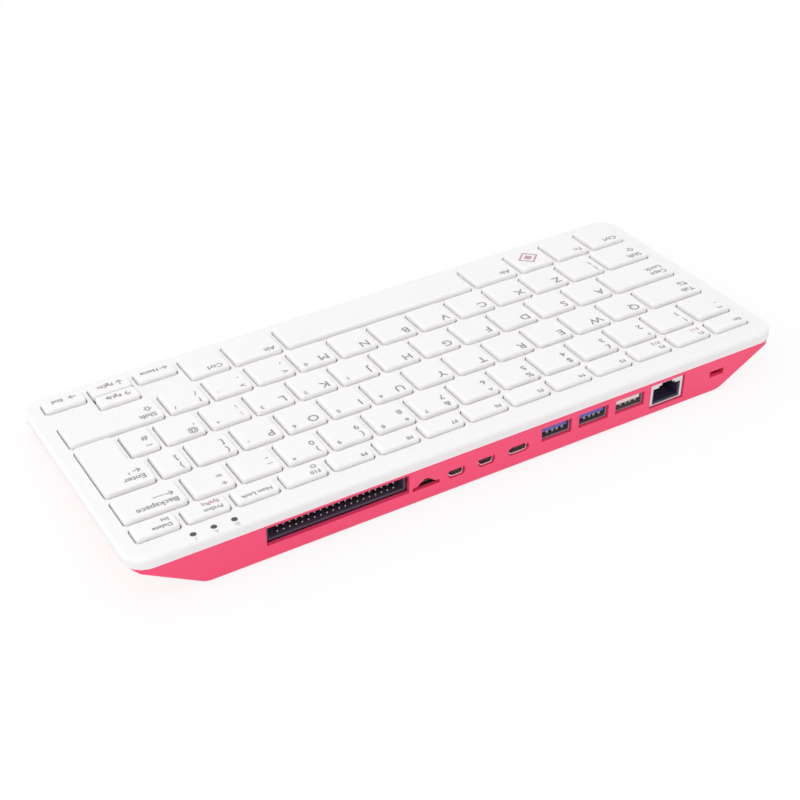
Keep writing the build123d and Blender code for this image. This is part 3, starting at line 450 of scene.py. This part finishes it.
# One entry for each cap, from left to right: a letter, or the signs of the rear and front lines,
# then, after a space, the sign that the number lock brings.
ROW_LEGENDS = {
    "number_keys_left": ["¬`", "!1", "\"2", "£3", "$4", "%5"],
    "number_keys_right": ["^6", "&7 7", "*8 8", "(9 9", ")0 *", "_-", "+="],
    "top_row_keys_left": ["Q", "W", "E", "R", "T"],
    "top_row_keys_right": ["Y", "U 4", "I 5", "O 6", "P -", "{[", "}]"],
    "home_row_keys_left": ["A", "S", "D", "F", "G"],
    "home_row_keys_right": ["H", "J 1", "K 2", "L 3", ":; +", "@'", "~#"],
    "lower_row_keys_left": ["|\\", "Z", "X", "C", "V", "B"],
    "lower_row_keys_right": ["N", "M 0", "<,", ">. .", "?/ /"],
}
UP, DOWN, BACK, ALONG = "↑", "↓", "←", "→"
POWER, DIAMOND = "⏻", "◈"
# Words and signs of the other caps: text, size, depth of its line from the rear edge in millimetres,
# and ink.
WORDS = {
    "escape_key": [("Esc", SMALL, 2.3, "grey")],
    "num_lock_key": [("Num Lock", SMALL, 2.0, "grey")],
    "print_screen_key": [("PrtScn", SMALL, 2.0, "grey"), ("SysRq", SMALL, 5.6, "red")],
    "delete_key": [("Delete", SMALL, 2.0, "grey"), ("Ins", SMALL, 5.4, "grey")],
    "backspace_key": [("Backspace", WORD, 2.8, "grey"), (BACK + "—", SIGN, 7.4, "grey")],
    "tab_key": [("Tab", WORD, 2.9, "grey"), ("↹", WORD, 8.4, "grey")],
    "enter_key": [("Enter", WORD, 4.0, "grey"), (BACK, SIGN, 8.6, "grey"), ("    '", SIGN, 9.1, "grey")],
    "caps_lock_key": [("Caps", WORD, 2.9, "grey"), ("Lock", WORD, 7.0, "grey")],
    "left_shift_key": [("Shift", WORD, 2.7, "grey"), ("⇧", WORD, 8.0, "grey")],
    "right_shift_key": [("Shift", WORD, 2.7, "grey"), ("⇧", WORD, 7.7, "grey")],
    "left_ctrl_key": [("Ctrl", WORD, 2.9, "grey")],
    "fn_key": [("Fn", WORD, 2.7, "red")],
    "left_alt_key": [("Alt", WORD, 2.9, "grey")],
    "right_alt_key": [("Alt", WORD, 2.7, "grey")],
    "right_ctrl_key": [("Ctrl", WORD, 2.7, "grey")],
    "left_key": [(BACK, SIGN, 4.6, "grey"), ("     Home", ARROW_WORD, 4.6, "brown")],
    "up_key": [(UP, SIGN, 4.2, "grey"), ("     PgUp", ARROW_WORD, 4.2, "brown")],
    "down_key": [(DOWN, SIGN, 4.6, "grey"), ("     PgDn", ARROW_WORD, 4.6, "brown")],
    "right_key": [(ALONG, SIGN, 4.6, "grey"), ("       End", ARROW_WORD, 4.6, "brown")],
}
SECOND_LEGENDS = {1: ("F11", "red"), 2: ("F12", "red"), 10: (POWER, "grey")}
# Pad-print ink: thin and flat, in greyed colours with hardly any gloss.
grey_ink = moulded("grey_pad_print_ink", "949297", "9A989D", 0.5, 0.5, 0.002)
red_ink = moulded("red_pad_print_ink", "BE98A0", "C49FA7", 0.5, 0.5, 0.002)
brown_ink = moulded("brown_pad_print_ink", "887A7D", "8F8285", 0.5, 0.5, 0.002)
pale_ink = moulded("pale_pad_print_ink", "C9C7CA", "CFCDD0", 0.5, 0.5, 0.002)
INKS = {"grey": (grey_ink, "smoked_lens"), "red": (red_ink, "pink_case"),
        "brown": (brown_ink, "smoked_lens")}


def caps_of(body):
    """Plan limits of a body's caps on the deck, from left to right, and the level of their tops."""
    bm = solid_copy(body)
    loose, limits = set(bm.verts), []
    while loose:
        reached = [loose.pop()]
        for vert in reached:
            near = {e.other_vert(vert) for e in vert.link_edges} & loose
            loose -= near
            reached += near
        across = [v.co.x for v in reached]
        along = [v.co.dot(UPSLOPE) for v in reached]
        limits.append((min(across), max(across), min(along), max(along)))
    top = max(v.co.dot(NORMAL) for v in bm.verts)
    bm.free()
    return sorted(limits), top


def print_on(bm, text, size, x, line, level, align="LEFT"):
    """Adds a film of ink to a mesh, with the middle of its capitals on a line of the deck."""
    curve = bpy.data.curves.new("legend", "FONT")
    curve.body, curve.size, curve.align_x = text, size, align
    curve.resolution_u, curve.bevel_depth, curve.bevel_resolution = GLYPH_STEPS, STROKE, 0
    text_object = bpy.data.objects.new("legend", curve)
    film = bpy.data.meshes.new_from_object(text_object)
    origin = Vector((x, 0, 0)) + UPSLOPE * (line - size * CAP_SHARE / 2) + NORMAL * level
    film.transform(Matrix.Translation(origin) @ ON_DECK @ Matrix.Diagonal((1, 1, INK_T / STROKE, 1)))
    bm.from_mesh(film)
    bpy.data.objects.remove(text_object)
    bpy.data.curves.remove(curve)
    bpy.data.meshes.remove(film)


def finish_print(prints, body):
    """Makes a piece of each ink's film on a body, where it has any."""
    for ink, bm in prints.items():
        if bm.verts:
            make_piece(bm, f"{body}_{ink}_legends", body, INKS[ink][0])


for body, entries in ROW_LEGENDS.items():
    limits, top = caps_of(body)
    prints = {"grey": bmesh.new()}
    for (left, right, _, rear), entry in zip(limits, entries):
        main, _, pad = entry.partition(" ")
        if len(main) == 1:
            print_on(prints["grey"], main, LETTER, left + LEFT, rear - LETTER_LINE, top)
        else:
            print_on(prints["grey"], main[0], SIGN, left + LEFT, rear - REAR_LINE, top)
            print_on(prints["grey"], main[1], SIGN, left + LEFT, rear - FRONT_LINE, top)
        if pad:
            print_on(prints["grey"], pad, PAD, right - PAD_RIGHT, rear - PAD_LINE, top, "RIGHT")
    finish_print(prints, body)
for body, lines in WORDS.items():
    ((left, _, _, rear),), top = caps_of(body)
    prints = {"grey": bmesh.new(), "red": bmesh.new(), "brown": bmesh.new()}
    for words, size, depth, ink in lines:
        print_on(prints[ink], words, size, left + LEFT, rear - depth * MM, top)
    finish_print(prints, body)
for body, first in (("function_keys_left", 1), ("function_keys_right", 6)):
    limits, top = caps_of(body)
    prints = {"grey": bmesh.new(), "red": bmesh.new()}
    for number, (left, _, _, rear) in enumerate(limits, first):
        print_on(prints["grey"], f"F{number}", SMALL, left + LEFT, rear - F_LINE, top)
        if number in SECOND_LEGENDS:
            second, ink = SECOND_LEGENDS[number]
            print_on(prints[ink], second, SMALL, left + LEFT, rear - F_SECOND_LINE, top)
    finish_print(prints, body)
((left, right, front, rear),), top = caps_of("system_key")
system_print = bmesh.new()
print_on(system_print, DIAMOND, SYSTEM_SIGN, (left + right) / 2, (front + rear) / 2, top, "CENTER")
finish_print({"red": system_print}, "system_key")
lens_signs = bmesh.new()
lens_low, lens_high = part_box("indicator_lenses")
lens_middle, lens_pitch = (lens_low.x + lens_high.x) / 2, (lens_high.x - lens_low.x - 2 * LENS_R) / 2
lens_line = ((lens_low + lens_high) / 2).dot(UPSLOPE) + LENS_SIGN_BACK
for step, sign in ((-1, POWER), (0, "A"), (1, "1")):
    print_on(lens_signs, sign, LENS_SIGN, lens_middle + step * lens_pitch, lens_line, deck_level, "CENTER")
make_piece(lens_signs, "lens_signs", "case", pale_ink)

# Floor, light and camera
# A white floor that keeps a faint shadow, an even white room, one large softbox overhead, and the
# camera behind the machine, above its right-hand end.
FLOOR_HALF = 4.0
FLOOR_GLOW = 0.85
ROOM = 0.88
WHITE = (1, 1, 1, 1)
SOFTBOX_POWER, SOFTBOX_SIZE = 5.0, 1.4
SOFTBOX_AT = Vector((0.95, -0.1, 1.1))
CAMERA_AT = Vector((0.2590, 0.4563, 0.4131))
CAMERA_AIM = Vector((0.01195, 0.01769, 0.0156))
FOCAL_LENGTH, SENSOR_W = 72.9, 36.0


def seen_directly(tree):
    """1 for what the camera sees, straight or in a reflection; 0 for light that falls on things."""
    path = add(tree, "LightPath")
    first = add(tree, "Math", {0: path.outputs["Is Camera Ray"], 1: path.outputs["Is Glossy Ray"]},
                operation="MAXIMUM")
    both = add(tree, "Math", {0: first.outputs["Value"], 1: path.outputs["Is Transmission Ray"]},
               operation="MAXIMUM")
    return both.outputs["Value"]


# Floor: matt white paper to the light, and a glowing white with a little shadow to the camera.
studio_white, tree, output = new_material("white_studio_floor")
matt = add(tree, "BsdfDiffuse", {"Color": linear("F2F2F2")})
shadow = add(tree, "BsdfDiffuse", {"Color": (1 - FLOOR_GLOW, 1 - FLOOR_GLOW, 1 - FLOOR_GLOW, 1)})
glow = add(tree, "Emission", {"Strength": FLOOR_GLOW})
shown = add(tree, "AddShader", {0: glow.outputs["Emission"], 1: shadow.outputs["BSDF"]})
both = add(tree, "MixShader", {0: seen_directly(tree), 1: matt.outputs["BSDF"], 2: shown.outputs["Shader"]})
tree.links.new(both.outputs["Shader"], output.inputs["Surface"])
ground = bmesh.new()
bmesh.ops.create_grid(ground, x_segments=1, y_segments=1, size=FLOOR_HALF)
floor_mesh = bpy.data.meshes.new("floor")
ground.to_mesh(floor_mesh)
ground.free()
floor_mesh.materials.append(studio_white)
floor = bpy.data.objects.new("floor", floor_mesh)
bpy.context.scene.collection.objects.link(floor)

# Room: an even white light on everything, and a pure white backdrop to the camera.
world = bpy.data.worlds.new("white_room")
bpy.context.scene.world = world
world.use_nodes = True
tree = world.node_tree
tree.nodes.clear()
room = add(tree, "Background", {"Color": WHITE, "Strength": ROOM})
backdrop = add(tree, "Background", {"Color": WHITE, "Strength": 1.0})
view = add(tree, "MixShader", {0: seen_directly(tree), 1: room.outputs["Background"],
                               2: backdrop.outputs["Background"]})
add(tree, "OutputWorld", {"Surface": view.outputs["Shader"]})

softbox = bpy.data.lights.new("softbox", "AREA")
softbox.energy = SOFTBOX_POWER
softbox.size = SOFTBOX_SIZE
lamp = bpy.data.objects.new("softbox", softbox)
lamp.location = SOFTBOX_AT
lamp.rotation_euler = (-SOFTBOX_AT).to_track_quat("-Z", "Y").to_euler()
bpy.context.scene.collection.objects.link(lamp)

lens = bpy.data.cameras.new("camera")
lens.lens = FOCAL_LENGTH
lens.sensor_width = SENSOR_W
camera = bpy.data.objects.new("camera", lens)
camera.location = CAMERA_AT
camera.rotation_euler = (CAMERA_AIM - CAMERA_AT).to_track_quat("-Z", "Y").to_euler()
bpy.context.scene.collection.objects.link(camera)
bpy.context.scene.camera = camera
bpy.context.scene.view_settings.view_transform = "Standard"
